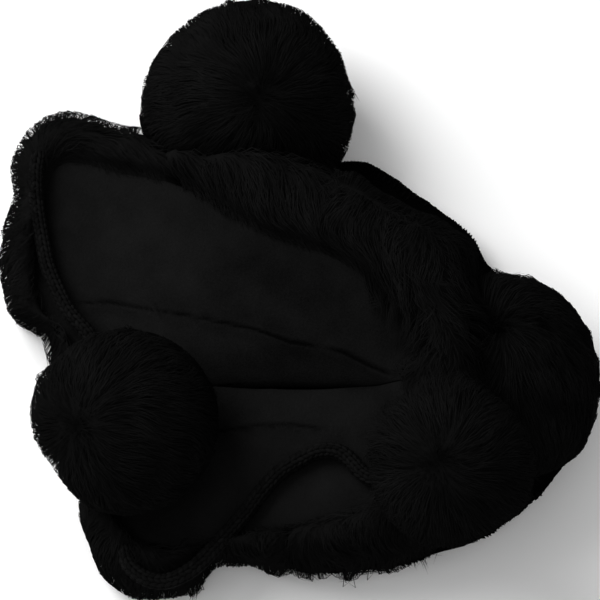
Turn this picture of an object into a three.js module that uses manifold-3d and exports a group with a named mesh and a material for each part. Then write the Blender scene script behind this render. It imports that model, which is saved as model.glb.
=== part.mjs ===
// A knitted beanie with ear flaps, a fleece lining, deep fur trim and four fur pompoms.
// It lies on its crown with the opening turned up and its two flaps spread to the left.
// Lengths are in millimetres and +Z is up. The middle of the laid hat stands on the floor at the origin.

import * as THREE from 'three';
import Module from 'manifold-3d';
import { mergeVertices } from 'three/addons/utils/BufferGeometryUtils.js';

const wasm = await Module();
wasm.setup();

// The laid hat
const hatLength = 350;
const hatDepth = 340;
const rimHeight = 92;

// Walls of the knit and of the fleece, and the clearance between neighbouring pieces
const crownWall = 3;
const liningWall = 2.2;
const clearance = 0.35;

// The crown, a squashed bag under the opening
const crownWidth = 236;
const crownMiddle = { along: 0.109, across: -0.11 };
const crownEdgeHeight = 24;
const crownPressedHeight = 9;
const neckDepth = 13;

// The slit where the two sides of the lining meet, which leads down into the crown
const slitWidth = 12;
const slitRoundness = 0.85;
const slitLeft = { along: -0.184, across: -0.175, height: 47 };
const slitRight = { along: 0.165, across: -0.196, height: 70 };
const rollHeight = 15;
const nearRollHeight = 5;
const creaseWidth = 9;
const creaseDepth = 5;

// Fur of the trim
const furReach = 50;
const furDrop = 62;
const browFurRise = 22;
const flapFurRise = 9;
const trimLockLength = 8;

// Pompoms
const earPompomRadius = 62;
const earPompomHeight = 108;
const leftTiePompomRadius = 53;
const leftTiePompomHeight = 92;
const rightTiePompomRadius = 46;
const rightTiePompomHeight = 80;
const pompomLockLength = 9;
const lockLean = 0.06;

// Tie cords
const cordDiameter = 9.5;
const cordSides = 8;
const cordSteps = 26;

// How finely the soft walls and the fur are cut into faces
const stations = 40;
const pompomDetail = 3;
const cutterDetail = 4;
const cutterSlack = 1.012;

// The lining's edge, right round from the right end by the brow, the two flaps and the near side.
// along, across and up are shares of the hat's length, depth and rim height. crown is the reach of
// the crown in that direction, as a share of half its width, and fur the trim's, of furReach.
const rimTable = [
  { at: 'right end', along: 0.192, across: -0.187, up: 1.03, crown: 0.88, fur: 0.84 },
  { at: 'right brow', along: 0.187, across: -0.104, up: 1.04, crown: 0.82, fur: 0.86 },
  { at: 'brow right', along: 0.142, across: -0.04, up: 1.02, crown: 0.83, fur: 1.0 },
  { at: 'brow middle', along: 0.058, across: 0.03, up: 0.98, crown: 0.83, fur: 1.0 },
  { at: 'brow left', along: -0.042, across: 0.072, up: 0.89, crown: 0.95, fur: 1.0 },
  { at: 'brow end', along: -0.13, across: 0.132, up: 0.78, crown: 1.04, fur: 0.9 },
  { at: 'upper flap root', along: -0.214, across: 0.2, up: 0.65, crown: 1.08, fur: 0.68 },
  { at: 'upper flap top', along: -0.321, across: 0.238, up: 0.52, crown: 0.97, fur: 0.6 },
  { at: 'upper flap corner', along: -0.422, across: 0.268, up: 0.43, crown: 1.02, fur: 0.5 },
  { at: 'upper flap side', along: -0.453, across: 0.124, up: 0.4, crown: 1.08, fur: 0.32 },
  { at: 'upper flap heel', along: -0.438, across: -0.031, up: 0.39, crown: 1.1, fur: 0.28 },
  { at: 'nape', along: -0.334, across: -0.143, up: 0.41, crown: 1.1, fur: 0.2 },
  { at: 'nape low', along: -0.304, across: -0.271, up: 0.41, crown: 1.08, fur: 0.2 },
  { at: 'lower flap corner', along: -0.318, across: -0.39, up: 0.41, crown: 1.04, fur: 0.42 },
  { at: 'lower flap hem', along: -0.217, across: -0.455, up: 0.43, crown: 1.08, fur: 0.54 },
  { at: 'lower flap root', along: -0.084, across: -0.428, up: 0.5, crown: 1.0, fur: 0.42 },
  { at: 'near side', along: 0.042, across: -0.412, up: 0.59, crown: 1.0, fur: 0.52 },
  { at: 'near right', along: 0.142, across: -0.39, up: 0.74, crown: 1.12, fur: 0.66 },
  { at: 'right foot', along: 0.187, across: -0.322, up: 0.9, crown: 1.14, fur: 0.92 },
  { at: 'right turn', along: 0.192, across: -0.25, up: 1.0, crown: 1.02, fur: 0.9 },
];

// The stretch of the edge that each trim covers, in stations
const trimTable = {
  brow_fur: { first: -9, last: 12 },
  upper_flap_fur: { first: 12, last: 23 },
  lower_flap_fur: { first: 23, last: 31 },
};

// The trim's outside from the lining's edge down to its foot: out is a share of its reach, lift of
// its rise above the edge and fall of its drop below it
const trimProfile = [
  { out: 0, lift: 0.02, fall: 0 },
  { out: 0.12, lift: 0.62, fall: 0 },
  { out: 0.42, lift: 1, fall: 0 },
  { out: 0.75, lift: 0.35, fall: 0 },
  { out: 0.97, lift: 0, fall: 0.45 },
  { out: 0.7, lift: 0, fall: 1 },
];

// Rings of the lining between its edge and the slit, from 0 at the edge to 1 at the slit. The fur is
// tucked under the first of them, and the knit starts further in.
const lipRings = [0, 0.14, 0.3, 0.52, 0.72, 0.87, 1];
const rollCrest = 0.82;
const rollSpread = 0.16;
const lipShares = { tuckEnds: 0.3, knitStarts: 0.52 };
const tuckRing = lipRings.findIndex((share) => share >= lipShares.tuckEnds);
const knitFirstRing = lipRings.findIndex((share) => share >= lipShares.knitStarts);

// Creases in the lining: a long one beside the slit, one across the upper flap and one on the near
// side. Each runs between two places, given as shares of the hat's length and depth, and is as wide
// and deep as these shares of creaseWidth and creaseDepth.
const creaseTable = [
  { from: { along: -0.4, across: 0 }, to: { along: 0.14, across: -0.15 }, width: 1, depth: 1 },
  { from: { along: -0.33, across: 0.2 }, to: { along: -0.33, across: 0 }, width: 1.3, depth: 0.6 },
  { from: { along: -0.15, across: -0.25 }, to: { along: 0.05, across: -0.25 }, width: 0.9, depth: 0.6 },
];

// Rings of the crown from the slit's neck out to its widest line and in to the middle of its base
const crownRings = [
  { out: 0.3, fall: 0.16 },
  { out: 0.7, fall: 0.52 },
  { out: 0.95, fall: 0.9 },
];
const baseRings = [0.9, 0.45];

// Pompom middles, as shares of the hat's length and depth, with their heights above the floor
const pompomTable = {
  ear_pompom_left: { along: -0.092, across: 0.348, height: 52, radius: earPompomRadius, tall: earPompomHeight },
  ear_pompom_right: { along: 0.326, across: -0.152, height: 52, radius: earPompomRadius, tall: earPompomHeight },
  tie_pompom_left: {
    along: -0.289, across: -0.264, height: 85, radius: leftTiePompomRadius, tall: leftTiePompomHeight,
  },
  tie_pompom_right: {
    along: 0.242, across: -0.377, height: 120, radius: rightTiePompomRadius, tall: rightTiePompomHeight,
  },
};

// The pompoms that each pompom gives way to where they press together
const pompomYields = {
  ear_pompom_left: [],
  ear_pompom_right: ['tie_pompom_right'],
  tie_pompom_left: [],
  tie_pompom_right: [],
};

// The tie cords' routes, laid over the lining and the trim from each flap's corner to its pompom
const cordRoutes = {
  tie_cord_left: [
    [-156, 91, 49.5], [-157.5, 76, 48], [-156.5, 58.5, 46], [-153.5, 40, 44.5], [-149.5, 21, 44.2],
    [-143.5, 5.5, 44.5], [-136, -9, 45], [-126.5, -20.5, 46], [-117.5, -33.5, 46.3], [-111, -48, 46],
    [-108.5, -62.5, 46], [-110, -74, 50], [-112, -81, 57], [-111, -84, 66],
  ],
  tie_cord_right: [
    [-102, -152, 46], [-99.5, -162, 46.5], [-91.5, -170.5, 47.5], [-79, -174, 48.5], [-63.5, -167.5, 49.5],
    [-47.5, -151.5, 51], [-33, -135.5, 53.5], [-22, -121.5, 56.8], [-12, -111.5, 59.2], [0, -104.5, 62],
    [11, -100.5, 65], [21.5, -102, 67.6], [29, -108.5, 69], [35.5, -116.5, 70.8], [44, -121, 74],
    [53, -119.5, 80], [60, -116, 88], [65, -114, 97],
  ],
};

// The way the hair runs from the middle of each pompom's whorl
const whorls = {
  ear_pompom_left: new THREE.Vector3(0.15, -0.2, 1),
  ear_pompom_right: new THREE.Vector3(-0.1, 0.6, 0.8),
  tie_pompom_left: new THREE.Vector3(-0.8, -0.2, 0.6),
  tie_pompom_right: new THREE.Vector3(-0.15, 0, 1),
};

// Materials
const furBlack = { color: 0x0b0b0b, roughness: 0.75, metalness: 0 };
const fleeceBlack = { color: 0x151515, roughness: 0.95, metalness: 0 };
const knitBlack = { color: 0x0a0a0a, roughness: 0.9, metalness: 0 };
const cordBlack = { color: 0x101010, roughness: 0.85, metalness: 0 };

const mix = THREE.MathUtils.lerp;
const smooth = THREE.MathUtils.smoothstep;

function spot(row, height) {
  return new THREE.Vector3(row.along * hatLength, row.across * hatDepth, height);
}

// The hat's edge and what hangs on it, sampled by row of the table
const rimCurve = new THREE.CatmullRomCurve3(rimTable.map((row) => spot(row, row.up * rimHeight)), true);
const reachCurve = new THREE.CatmullRomCurve3(
  rimTable.map((row) => new THREE.Vector3(row.crown, row.fur, 0)),
  true,
);

function roundShare(station) {
  return (((station / stations) % 1) + 1) % 1;
}

function rimAt(station) {
  return rimCurve.getPoint(roundShare(station));
}

function outwardAt(station) {
  const ahead = rimAt(station + 0.5).sub(rimAt(station - 0.5));
  return new THREE.Vector3(ahead.y, -ahead.x, 0).normalize();
}

// The slit's edge, a long flat loop, at the same station as the rim
function slitAt(station) {
  const angle = roundShare(station) * Math.PI * 2;
  const left = spot(slitLeft, slitLeft.height);
  const right = spot(slitRight, slitRight.height);
  const point = left.clone().lerp(right, (1 + Math.cos(angle)) / 2);
  const side = Math.sign(Math.sin(angle)) * Math.abs(Math.sin(angle)) ** slitRoundness;
  point.y += (side * slitWidth) / 2;
  return point;
}

// The widest line of the crown at a station, pressed flat where the right ear pompom lies
function crownEdgeAt(station) {
  const angle = roundShare(station) * Math.PI * 2;
  const reach = (reachCurve.getPoint(roundShare(station)).x * crownWidth) / 2;
  const pressed = Math.max(Math.cos(angle), 0) ** 2;
  const height = mix(crownEdgeHeight, crownPressedHeight, pressed);
  const point = spot(crownMiddle, height);
  point.x += Math.cos(angle) * reach;
  point.y += Math.sin(angle) * reach;
  return point;
}

// How far the creases draw the lining down at a point
function creaseAt(point) {
  return creaseTable.reduce((sum, { from, to, width, depth }) => {
    const line = new THREE.Line3(spot(from, 0), spot(to, 0));
    const nearest = line.closestPointToPoint(point.clone().setZ(0), true, new THREE.Vector3());
    const away = nearest.distanceTo(point.clone().setZ(0)) / (width * creaseWidth);
    return sum + depth * creaseDepth * Math.exp(-(away ** 2));
  }, 0);
}

// One meridian of the lining's face, from the rim down through the slit to the crown's base
function meridian(station) {
  const rim = rimAt(station);
  const slit = slitAt(station);
  const edge = crownEdgeAt(station);
  const far = Math.max(Math.sin(roundShare(station) * Math.PI * 2), 0);
  const roll = mix(nearRollHeight, rollHeight, far);
  const points = lipRings.map((share) => {
    const point = rim.clone().lerp(slit, share);
    point.z += roll * Math.exp(-(((share - rollCrest) / rollSpread) ** 2));
    if (share > 0 && share < 1) point.z -= creaseAt(point);
    return point;
  });
  const neck = slit.clone().setZ(slit.z - neckDepth);
  points.push(neck);
  const base = crownWall + liningWall + clearance;
  for (const ring of crownRings) {
    const point = neck.clone().lerp(edge, ring.out);
    point.z = mix(neck.z, edge.z, ring.fall);
    points.push(point);
  }
  points.push(edge);
  const middle = spot(crownMiddle, base);
  for (const share of baseRings) {
    points.push(middle.clone().lerp(edge, share).setZ(base));
  }
  return points;
}

const grid = Array.from({ length: stations }, (_, i) => meridian(i));
const baseMiddle = spot(crownMiddle, crownWall + liningWall + clearance);

function around(i) {
  return grid[((i % stations) + stations) % stations];
}

// A point of the grid moved off the lining's face, towards the knit
function offGrid(i, ring, distance) {
  const column = around(i);
  const across = around(i + 1)[ring].clone().sub(around(i - 1)[ring]);
  const next = column[Math.min(ring + 1, column.length - 1)];
  const last = column[Math.max(ring - 1, 0)];
  const inward = ring === column.length - 1 ? baseMiddle.clone().sub(last) : next.clone().sub(last);
  const normal = inward.cross(across).normalize();
  const point = column[ring].clone().addScaledVector(normal, distance);
  point.z = Math.max(point.z, baseMiddle.z - distance);
  return point;
}

function gridRing(ring, distance) {
  return grid.map((_, i) => offGrid(i, ring, distance));
}

// A body of points and faces, with a pole wherever a ring is a single point. The first rings may
// have their faces split along the other diagonal, so that two faces of a sheet stay parallel.
function loft(rings, turned = 0) {
  const points = rings.flat();
  const starts = [];
  rings.reduce((sum, ring) => (starts.push(sum), sum + ring.length), 0);
  const faces = [];
  for (let r = 0; r + 1 < rings.length; r += 1) {
    const low = rings[r].length;
    const high = rings[r + 1].length;
    const count = Math.max(low, high);
    for (let i = 0; i < count; i += 1) {
      const j = (i + 1) % count;
      const a = starts[r] + (low === 1 ? 0 : i);
      const b = starts[r] + (low === 1 ? 0 : j);
      const c = starts[r + 1] + (high === 1 ? 0 : j);
      const d = starts[r + 1] + (high === 1 ? 0 : i);
      const corners = r < turned ? [b, c, d, a] : [a, b, c, d];
      faces.push(corners.filter((point, k, face) => face.indexOf(point) === k));
    }
  }
  return { points, faces };
}

// A lock of hair on each face that the test picks: the face becomes the foot of one pointed lock
function growLocks(body, tipOf) {
  const triangles = [];
  const points = [...body.points];
  body.faces.forEach((face, index) => {
    const tip = tipOf(face.map((k) => body.points[k]), index);
    if (tip) {
      points.push(tip);
      face.forEach((k, n) => triangles.push([k, face[(n + 1) % face.length], points.length - 1]));
    } else {
      for (let n = 1; n + 1 < face.length; n += 1) triangles.push([face[0], face[n], face[n + 1]]);
    }
  });
  return { points, faces: triangles };
}

function middleOf(corners) {
  return corners.reduce((sum, p) => sum.add(p), new THREE.Vector3()).divideScalar(corners.length);
}

function volumeOf({ points, faces }) {
  return faces.reduce((sum, face) => {
    for (let n = 1; n + 1 < face.length; n += 1) {
      const [a, b, c] = [face[0], face[n], face[n + 1]].map((k) => points[k]);
      sum += a.dot(b.clone().cross(c)) / 6;
    }
    return sum;
  }, 0);
}

function facingOut(body) {
  if (volumeOf(body) > 0) return body;
  return { points: body.points, faces: body.faces.map((face) => [...face].reverse()) };
}

// Geometry and solids
function geometryOf(body) {
  const shape = growLocks(body, () => null);
  const geometry = new THREE.BufferGeometry();
  geometry.setAttribute(
    'position',
    new THREE.BufferAttribute(new Float32Array(shape.points.flatMap((p) => [p.x, p.y, p.z])), 3),
  );
  geometry.setIndex(shape.faces.flat());
  return geometry;
}

function solidOf(geometry) {
  const bare = geometry.clone();
  bare.deleteAttribute('normal');
  bare.deleteAttribute('uv');
  const merged = mergeVertices(bare, 1e-4);
  return new wasm.Manifold(
    new wasm.Mesh({
      numProp: 3,
      vertProperties: new Float32Array(merged.attributes.position.array),
      triVerts: new Uint32Array(merged.index.array),
    }),
  );
}

function geometryFrom(solid) {
  const mesh = solid.getMesh();
  const geometry = new THREE.BufferGeometry();
  geometry.setAttribute('position', new THREE.BufferAttribute(mesh.vertProperties, 3));
  geometry.setIndex(new THREE.BufferAttribute(mesh.triVerts, 1));
  return geometry;
}

// What is left of a body after its neighbours have pressed into it, without the loose crumbs
function pressed(solid, neighbours) {
  const left = neighbours.reduce((body, cutter) => body.subtract(cutter), solid);
  return left.decompose().sort((a, b) => b.volume() - a.volume())[0];
}

// A sheet that follows the grid between two distances off the lining's face
function sheet(firstRing, inner, outer) {
  const count = grid[0].length;
  const rings = Array.from({ length: count - firstRing }, (_, k) => firstRing + k);
  const pole = (distance) => [baseMiddle.clone().setZ(baseMiddle.z - distance)];
  const layers = [
    pole(inner),
    ...rings.map((ring) => gridRing(ring, inner)).reverse(),
    ...rings.map((ring) => gridRing(ring, outer)),
    pole(outer),
  ];
  return facingOut(loft(layers, rings.length));
}

// The fleece lining
function fleeceLining() {
  return geometryOf(sheet(0, 0, liningWall));
}

// The knitted crown, outside the lining and through the slit's roll
const knitInside = liningWall + clearance;

function knitCrown() {
  return geometryOf(sheet(knitFirstRing, knitInside, knitInside + crownWall));
}

// The room that each soft wall takes, with most of the clearance round it
const spare = clearance * 0.9;
const liningSpace = roomOf(0, 0, liningWall);
const knitSpace = roomOf(knitFirstRing, knitInside, knitInside + crownWall);

function roomOf(firstRing, inner, outer) {
  const wall = solidOf(geometryOf(sheet(firstRing, inner, outer)));
  return solidOf(geometryOf(sheet(firstRing, inner - spare, outer + spare))).add(wall);
}

// The whole bag of the crown as one lump, which the fur and the pompoms lie against
function crownLump() {
  const first = lipRings.length;
  const outside = knitInside + crownWall + clearance;
  const rings = Array.from({ length: grid[0].length - first }, (_, k) => gridRing(first + k, outside));
  const low = [baseMiddle.clone().setZ(baseMiddle.z - outside)];
  return solidOf(geometryOf(facingOut(loft([[middleOf(rings[0])], ...rings, low]))));
}

// An upright section through the trim: from under the lining, round its edge and down outside
function trimSection(station, shift) {
  const outward = outwardAt(station);
  const along = new THREE.Vector3(-outward.y, outward.x, 0).multiplyScalar(shift);
  const reach = reachCurve.getPoint(roundShare(station)).y * furReach - trimLockLength / 2;
  const tucked = [];
  for (let ring = tuckRing; ring >= 0; ring -= 1) {
    tucked.push(offGrid(station, ring, liningWall + clearance));
  }
  const rim = around(station)[0];
  const foot = Math.max(rim.z - furDrop, 0);
  const rise = mix(flapFurRise, browFurRise, smooth(rim.z / rimHeight, 0.45, 0.95));
  const outside = trimProfile.map(({ out, lift, fall }) => {
    const height = fall === 0 ? rim.z + lift * rise : mix(rim.z, foot, fall);
    return rim.clone().addScaledVector(outward, clearance + out * reach).setZ(height);
  });
  return [...tucked, ...outside, tucked[0].clone().setZ(foot)].map((point) => point.add(along));
}

// A run of fur trim between two stations, with a lock on each face that shows
function furTrim(trim) {
  const sections = [];
  for (let station = trim.first; station <= trim.last; station += 1) {
    const shift = station === trim.first ? 1 : station === trim.last ? -1 : 0;
    sections.push(trimSection(station, (shift * clearance) / 2));
  }
  const count = sections[0].length;
  const body = loft(sections);
  const showing = body.faces.length;
  const end = (sections.length - 1) * count;
  for (const [section, station, start, way] of [
    [sections[0], trim.first, 0, 1],
    [sections[sections.length - 1], trim.last, end, -1],
  ]) {
    const outward = outwardAt(station);
    const flat = section.map((point) => new THREE.Vector2(point.dot(outward), point.z));
    for (const triangle of THREE.ShapeUtils.triangulateShape(flat, [])) {
      const face = triangle.map((k) => start + k);
      body.faces.push(way > 0 ? face : face.reverse());
    }
  }
  const firstSide = tuckRing + 2;
  const lastSide = firstSide + trimProfile.length - 3;
  return growLocks(facingOut(body), (corners, index) => {
    const side = index % count;
    if (index >= showing || side < firstSide || side > lastSide) return null;
    const middle = middleOf(corners);
    const face = corners[2].clone().sub(corners[0]).cross(corners[3].clone().sub(corners[1])).normalize();
    const tip = middle.addScaledVector(face, trimLockLength * (index % 3 === 0 ? 1 : 0.7));
    tip.z = Math.max(tip.z - trimLockLength * 0.3, 1);
    return tip;
  });
}

// A round head of fur: a lock on each face of a ball, combed away from the middle of its whorl
function pompom(name) {
  const { radius, tall } = pompomTable[name];
  const ball = mergeVertices(bareBall(pompomDetail), 1e-4);
  const points = [];
  for (let n = 0; n < ball.attributes.position.count; n += 1) {
    points.push(new THREE.Vector3().fromBufferAttribute(ball.attributes.position, n));
  }
  const faces = [];
  for (let n = 0; n < ball.index.count; n += 3) {
    faces.push([0, 1, 2].map((k) => ball.index.getX(n + k)));
  }
  const whorl = whorls[name].clone().normalize();
  const foot = 1 - pompomLockLength / radius;
  const body = growLocks({ points, faces }, (corners) => {
    const tip = middleOf(corners).normalize();
    const combed = tip.clone().multiplyScalar(tip.dot(whorl)).sub(whorl);
    return tip.addScaledVector(combed, lockLean).normalize().divideScalar(foot);
  });
  const size = new THREE.Vector3(radius, radius, tall / 2).multiplyScalar(foot);
  const middle = spot(pompomTable[name], pompomTable[name].height);
  body.points.forEach((point) => point.multiply(size).add(middle));
  return body;
}

function bareBall(detail) {
  const ball = new THREE.IcosahedronGeometry(1, detail);
  ball.deleteAttribute('normal');
  ball.deleteAttribute('uv');
  return ball;
}

// The smooth ball that a pompom's locks reach, with the clearance round it
function pompomSpace(name) {
  const { radius, tall, height } = pompomTable[name];
  const ball = bareBall(cutterDetail);
  ball.scale(radius + clearance, radius + clearance, tall / 2 + clearance);
  ball.scale(cutterSlack, cutterSlack, cutterSlack);
  const middle = spot(pompomTable[name], height);
  ball.translate(middle.x, middle.y, middle.z);
  return solidOf(ball);
}

// A tie cord along its chosen points, as thick as the diameter given
function cordTube(route, diameter) {
  const angles = Array.from({ length: cordSides }, (_, n) => (n * Math.PI * 2) / cordSides);
  const section = new THREE.Shape(
    angles.map((angle) => new THREE.Vector2(Math.cos(angle), Math.sin(angle)).multiplyScalar(diameter / 2)),
  );
  const path = new THREE.CatmullRomCurve3(route.map(([x, y, z]) => new THREE.Vector3(x, y, z)));
  return new THREE.ExtrudeGeometry(section, { steps: cordSteps, bevelEnabled: false, extrudePath: path });
}

// Everything below the surface that the hat lies on
const floorSpace = new THREE.BoxGeometry(hatLength * 2, hatDepth * 2, rimHeight);
floorSpace.translate(0, 0, -rimHeight / 2);
const floorBlock = solidOf(floorSpace);

// The hat
const hat = new THREE.Group();

function addPiece(name, geometry, look) {
  const mesh = new THREE.Mesh(geometry, new THREE.MeshStandardMaterial(look));
  mesh.name = name;
  hat.add(mesh);
}

addPiece('fleece_lining', fleeceLining(), fleeceBlack);
addPiece('knit_crown', geometryFrom(pressed(solidOf(knitCrown()), [liningSpace])), knitBlack);

const walls = [crownLump(), knitSpace, liningSpace, floorBlock];
const pompomSpaces = Object.fromEntries(Object.keys(pompomTable).map((name) => [name, pompomSpace(name)]));
const cordSpaces = Object.values(cordRoutes).map((route) =>
  solidOf(cordTube(route, cordDiameter + 2 * clearance)),
);

for (const [name, trim] of Object.entries(trimTable)) {
  const neighbours = [...Object.values(pompomSpaces), ...cordSpaces, ...walls];
  const fur = pressed(solidOf(geometryOf(furTrim(trim))), neighbours);
  addPiece(name, geometryFrom(fur), furBlack);
}
for (const [name, yields] of Object.entries(pompomYields)) {
  const neighbours = [...yields.map((other) => pompomSpaces[other]), ...cordSpaces];
  const ball = solidOf(geometryOf(pompom(name)));
  addPiece(name, geometryFrom(pressed(ball, [...neighbours, ...walls])), furBlack);
}
for (const [name, route] of Object.entries(cordRoutes)) {
  addPiece(name, cordTube(route, cordDiameter), cordBlack);
}

// The middle of the laid hat, without its ties, stands at the origin
const laid = new THREE.Box3();
hat.children.filter((mesh) => !mesh.name.startsWith('tie_')).forEach((mesh) => laid.expandByObject(mesh));
const middle = laid.getCenter(new THREE.Vector3());
hat.position.set(-middle.x, -middle.y, 0);

export default hat;
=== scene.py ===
"""Looks of a fleece-lined earflap beanie: fleece, knit, knitted ties and long fur laid hair by hair."""
import math

import bpy
import numpy as np
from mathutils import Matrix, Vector
from mathutils.bvhtree import BVHTree
from mathutils.kdtree import KDTree


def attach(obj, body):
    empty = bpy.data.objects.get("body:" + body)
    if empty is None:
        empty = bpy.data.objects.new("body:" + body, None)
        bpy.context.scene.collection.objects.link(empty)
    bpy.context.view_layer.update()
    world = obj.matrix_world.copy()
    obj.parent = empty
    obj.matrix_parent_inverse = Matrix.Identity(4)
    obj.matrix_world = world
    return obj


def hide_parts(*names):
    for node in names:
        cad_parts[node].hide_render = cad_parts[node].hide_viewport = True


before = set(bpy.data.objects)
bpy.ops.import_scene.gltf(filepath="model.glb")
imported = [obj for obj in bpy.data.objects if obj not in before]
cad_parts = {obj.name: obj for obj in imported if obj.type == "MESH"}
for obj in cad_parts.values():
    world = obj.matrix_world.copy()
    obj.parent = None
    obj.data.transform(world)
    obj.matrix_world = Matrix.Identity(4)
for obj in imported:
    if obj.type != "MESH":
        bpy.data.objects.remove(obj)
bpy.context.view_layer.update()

MM = 0.001
SEED = 7

# The camera looks down at the laid hat, steeply from the near side
PICTURE_SIDE = 600
PIXEL = 0.585 * MM
FOCUS_DISTANCE = 2.5
FOCUS_HEIGHT = 0.06
SENSOR_WIDTH = 36.0
ELEVATION = math.radians(70)
AIM = np.array([0.0, 15 * MM, 0.0])
TOWARDS_CAMERA = np.array([0.0, -math.cos(ELEVATION), math.sin(ELEVATION)])
PICTURE_UP = np.array([0.0, math.sin(ELEVATION), math.cos(ELEVATION)])
PICTURE_RIGHT = np.array([1.0, 0.0, 0.0])

# Where the hat's own drawing puts its origin in this frame
DRAWING_SHIFT = np.array([0.796, -0.494, 0.0]) * MM


def place_camera():
    """The camera of the reference picture: 600 pixels of 0.585 mm at the focus height."""
    place = AIM + TOWARDS_CAMERA * (FOCUS_DISTANCE + FOCUS_HEIGHT)
    bpy.ops.object.camera_add(location=place, rotation=(math.pi / 2 - ELEVATION, 0, 0))
    camera = bpy.context.object
    camera.name = "camera"
    camera.data.sensor_width = SENSOR_WIDTH
    camera.data.lens = SENSOR_WIDTH * FOCUS_DISTANCE / (PICTURE_SIDE * PIXEL)
    camera.data.clip_end = 20
    bpy.context.scene.camera = camera


def in_picture(points):
    """Where points of the hat show in the picture, in pixels from its upper left corner."""
    away = points - AIM
    depth = FOCUS_DISTANCE + FOCUS_HEIGHT - away @ TOWARDS_CAMERA
    scale = FOCUS_DISTANCE / depth / PIXEL
    half = PICTURE_SIDE / 2
    return np.stack([half + away[:, 0] * scale, half - away @ PICTURE_UP * scale], axis=1)


def seen_on(tree, spots):
    """The points of a surface that show at these pixels of the picture."""
    eye = AIM + TOWARDS_CAMERA * (FOCUS_DISTANCE + FOCUS_HEIGHT)
    half = PICTURE_SIDE / 2
    found = []
    for x, y in spots:
        across = PICTURE_RIGHT * (x - half) * PIXEL + PICTURE_UP * (half - y) * PIXEL
        ray = across - TOWARDS_CAMERA * FOCUS_DISTANCE
        hit = tree.ray_cast(Vector(eye), Vector(ray).normalized())[0]
        if hit is not None:
            found.append(np.array(hit))
    return np.array(found)


# Meshes

def deselect():
    bpy.ops.object.select_all(action="DESELECT")


def pick(obj):
    """Makes a piece the only selected and active one."""
    deselect()
    obj.select_set(True)
    bpy.context.view_layer.objects.active = obj


def mesh_object(name, points, faces):
    """A piece from points and from arrays of faces, one array for each number of corners."""
    mesh = bpy.data.meshes.new(name)
    corners = np.concatenate([f.ravel() for f in faces]).astype(np.int32)
    sizes = np.concatenate([np.full(len(f), f.shape[1]) for f in faces])
    starts = np.concatenate([[0], np.cumsum(sizes)[:-1]]).astype(np.int32)
    mesh.vertices.add(len(points))
    mesh.vertices.foreach_set("co", points.astype(np.float32).ravel())
    mesh.loops.add(len(corners))
    mesh.loops.foreach_set("vertex_index", corners)
    mesh.polygons.add(len(sizes))
    mesh.polygons.foreach_set("loop_start", starts)
    mesh.update(calc_edges=True)
    mesh.validate()
    obj = bpy.data.objects.new(name, mesh)
    bpy.context.scene.collection.objects.link(obj)
    return obj


def points_of(obj):
    points = np.empty(len(obj.data.vertices) * 3, np.float32)
    obj.data.vertices.foreach_get("co", points)
    return points.reshape(-1, 3).astype(float)


def normals_of(obj):
    normals = np.empty(len(obj.data.vertices) * 3, np.float32)
    obj.data.vertices.foreach_get("normal", normals)
    return normals.reshape(-1, 3).astype(float)


def move_points(obj, points):
    obj.data.vertices.foreach_set("co", points.astype(np.float32).ravel())
    obj.data.update()


def apply(obj, kind, **settings):
    """Adds one modifier to a piece and applies it."""
    pick(obj)
    modifier = obj.modifiers.new(kind.title(), kind)
    for key, value in settings.items():
        setattr(modifier, key, value)
    bpy.ops.object.modifier_apply(modifier=modifier.name)


def copy_of_node(node, name):
    """A merged copy of a frame node, as a piece of its own."""
    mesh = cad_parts[node].data.copy()
    mesh.materials.clear()
    obj = bpy.data.objects.new(name, mesh)
    bpy.context.scene.collection.objects.link(obj)
    pick(obj)
    bpy.ops.object.mode_set(mode="EDIT")
    bpy.ops.mesh.select_all(action="SELECT")
    bpy.ops.mesh.remove_doubles(threshold=0.01 * MM)
    bpy.ops.object.mode_set(mode="OBJECT")
    return obj


def smooth_faces(obj):
    pick(obj)
    bpy.ops.object.shade_smooth()


def unit(vectors):
    return vectors / np.maximum(np.linalg.norm(vectors, axis=-1, keepdims=True), 1e-12)


def strands(name, centres, radii, references, sides, tones):
    """Closed tapered strands: one row of centres each, with a ring at every point but the last, which is
    the tip. A strand's first side faces its reference. Tones colour them from root to tip."""
    count, rows = radii.shape
    along = unit(np.gradient(centres, axis=1))
    side = unit(np.cross(references[:, None, :], along))
    other = np.cross(along, side)
    angles = np.arange(sides) * 2 * math.pi / sides
    rings = centres[:, :-1, None, :] + radii[:, :-1, None, None] * (
        side[:, :-1, None, :] * np.cos(angles)[:, None] + other[:, :-1, None, :] * np.sin(angles)[:, None]
    )
    each = (rows - 1) * sides + 1
    points = np.concatenate([rings.reshape(count, -1, 3), centres[:, -1:, :]], axis=1)
    step = np.arange(sides)
    after = (step + 1) % sides
    first = (np.arange(count) * each)[:, None]
    foot = first + step[::-1][None, :]
    walls = []
    for row in range(rows - 2):
        low = row * sides
        high = low + sides
        wall = np.stack([low + step, low + after, high + after, high + step], axis=1)
        walls.append((first[:, :, None] + wall[None]).reshape(-1, 4))
    last = (rows - 2) * sides
    ends = np.stack([last + step, last + after, np.full(sides, each - 1)], axis=1)
    tips = (first[:, :, None] + ends[None]).reshape(-1, 3)
    obj = mesh_object(name, points.reshape(-1, 3), [foot, np.concatenate(walls), tips])
    paint_tones(obj, np.concatenate([np.repeat(tones[:, :-1], sides, axis=1), tones[:, -1:]], axis=1).ravel())
    return obj


def paint_tones(obj, tones):
    """Light and dark along the hair, from 0 to 1, for its material."""
    attribute = obj.data.attributes.new("tone", "FLOAT", "POINT")
    attribute.data.foreach_set("value", tones.astype(np.float32))


def joined(name, objects):
    pick(objects[0])
    for obj in objects[1:]:
        obj.select_set(True)
    bpy.ops.object.join()
    bpy.context.object.name = name
    bpy.context.object.data.name = name
    return bpy.context.object


def tree_of(points, obj):
    faces = [tuple(p.vertices) for p in obj.data.polygons]
    return BVHTree.FromPolygons([Vector(p) for p in points], faces)


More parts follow.
